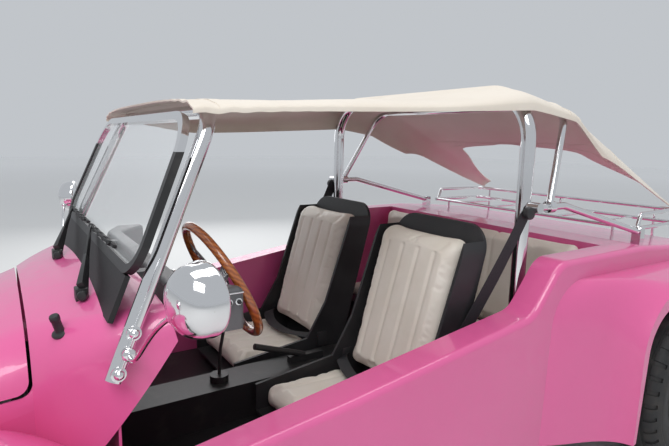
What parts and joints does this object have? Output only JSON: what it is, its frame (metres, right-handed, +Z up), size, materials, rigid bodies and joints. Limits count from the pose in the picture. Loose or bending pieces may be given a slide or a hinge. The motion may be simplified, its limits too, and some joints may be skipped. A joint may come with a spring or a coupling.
{
  "type": "dune buggy",
  "caption": "Open-topped beach buggy with rounded front wings, wide rear wheels, roll hoop, folding windscreen and canvas canopy.",
  "frame": {"origin": "on the ground below the middle of the car's length", "axes": "+Z up, +Y towards the rear, +X the car's left"},
  "size_m": [1.8944, 3.6798, 1.4607],
  "materials": {
    "pink_grp": "glossy bubblegum pink gelcoat on glass-fibre",
    "canvas": "cream canvas",
    "chrome": "polished",
    "black_metal": "satin black paint",
    "dark_metal": "plain dark metal",
    "alloy": "cast, satin",
    "tyre_rubber": "matt black",
    "rubber": "matt black",
    "glass": "clear laminated",
    "lamp_glass": "clear fluted",
    "red_lens": "red moulded lens",
    "cream_vinyl": "cream vinyl",
    "black_shell": "black moulded back",
    "wood_rim": "varnished mahogany",
    "dash_grey": "grey vinyl"
  },
  "bodies": {
    "chassis": {"body_tub": "pink_grp", "canopy": "canvas", "dashboard": "dash_grey", "engine": "alloy", "engine_shroud": "black_metal", "exhaust": "black_metal", "filler_cap": "black_shell", "floor_pan": "black_metal", "front_beam": "black_metal", "front_body": "pink_grp", "front_bumper": "chrome", "hand_controls": "black_metal", "headlamp_lenses": "lamp_glass", "headlamps": "chrome", "hoop_stays": "chrome", "luggage_rack": "chrome", "main_hoop": "chrome", "mirrors": "chrome", "pedals": "black_metal", "rear_axle": "dark_metal", "rear_bench": "cream_vinyl", "rear_bow": "chrome", "rear_bumper": "chrome", "screen_base": "rubber", "screen_frame_lower": "black_metal", "screen_frame_upper": "chrome", "screen_glass": "glass", "screen_posts": "chrome", "seat_pads": "cream_vinyl", "seat_shells": "black_shell", "steering_column": "black_metal", "tail_lamps": "red_lens", "wipers": "black_metal"},
    "knuckle_left": {"knuckle_left": "dark_metal"},
    "knuckle_right": {"knuckle_right": "dark_metal"},
    "wheel_front_left": {"tyre_front_left": "tyre_rubber", "rim_front_left": "alloy"},
    "wheel_front_right": {"tyre_front_right": "tyre_rubber", "rim_front_right": "alloy"},
    "wheel_rear_left": {"tyre_rear_left": "tyre_rubber", "rim_rear_left": "alloy"},
    "wheel_rear_right": {"tyre_rear_right": "tyre_rubber", "rim_rear_right": "alloy"},
    "track_rod": {"track_rod": "black_metal"},
    "pitman_arm": {"pitman_arm": "black_metal"},
    "steering_wheel": {"steering_wheel": "wood_rim"},
    "bonnet": {"bonnet": "pink_grp"}
  },
  "joints": [
    {"name": "steer_left", "type": "hinge", "parent": "chassis", "child": "knuckle_left", "pos_m": [0.6, -1.24, 0.31], "axis": [0, 0, 1], "range_deg": [-30, 30]},
    {"name": "steer_right", "type": "hinge", "parent": "chassis", "child": "knuckle_right", "pos_m": [-0.6, -1.24, 0.31], "axis": [0, 0, 1], "range_deg": [-30, 30]},
    {"name": "track_rod_swing", "type": "hinge", "parent": "knuckle_left", "child": "track_rod", "pos_m": [0.6, -1.13, 0.297], "axis": [0, 0, 1], "range_deg": [-30, 30]},
    {"name": "pitman_turn", "type": "hinge", "parent": "chassis", "child": "pitman_arm", "pos_m": [0.327, -1.24, 0.312], "axis": [0, 0, 1], "range_deg": [-30, 30]},
    {"name": "steering_wheel_turn", "type": "hinge", "parent": "chassis", "child": "steering_wheel", "pos_m": [0.327, -0.549, 0.845], "axis": [0, 0.891, 0.454], "range_deg": [-420, 420]},
    {"name": "front_left_spin", "type": "hinge", "parent": "knuckle_left", "child": "wheel_front_left", "pos_m": [0.68, -1.24, 0.31], "axis": [1, 0, 0], "continuous": true},
    {"name": "front_right_spin", "type": "hinge", "parent": "knuckle_right", "child": "wheel_front_right", "pos_m": [-0.68, -1.24, 0.31], "axis": [1, 0, 0], "continuous": true},
    {"name": "rear_left_spin", "type": "hinge", "parent": "chassis", "child": "wheel_rear_left", "pos_m": [0.8, 1.16, 0.335], "axis": [1, 0, 0], "continuous": true},
    {"name": "rear_right_spin", "type": "hinge", "parent": "chassis", "child": "wheel_rear_right", "pos_m": [-0.8, 1.16, 0.335], "axis": [1, 0, 0], "continuous": true},
    {"name": "bonnet_hinge", "type": "hinge", "parent": "chassis", "child": "bonnet", "pos_m": [0, -1.57, 0.7], "axis": [1, 0, 0], "range_deg": [0, 60]}
  ],
  "couplings": [
    {"joint": "steer_right", "follows": "steer_left", "ratio": 1},
    {"joint": "track_rod_swing", "follows": "steer_left", "ratio": -1},
    {"joint": "pitman_turn", "follows": "steer_left", "ratio": 1},
    {"joint": "steering_wheel_turn", "follows": "steer_left", "ratio": 14}
  ]
}
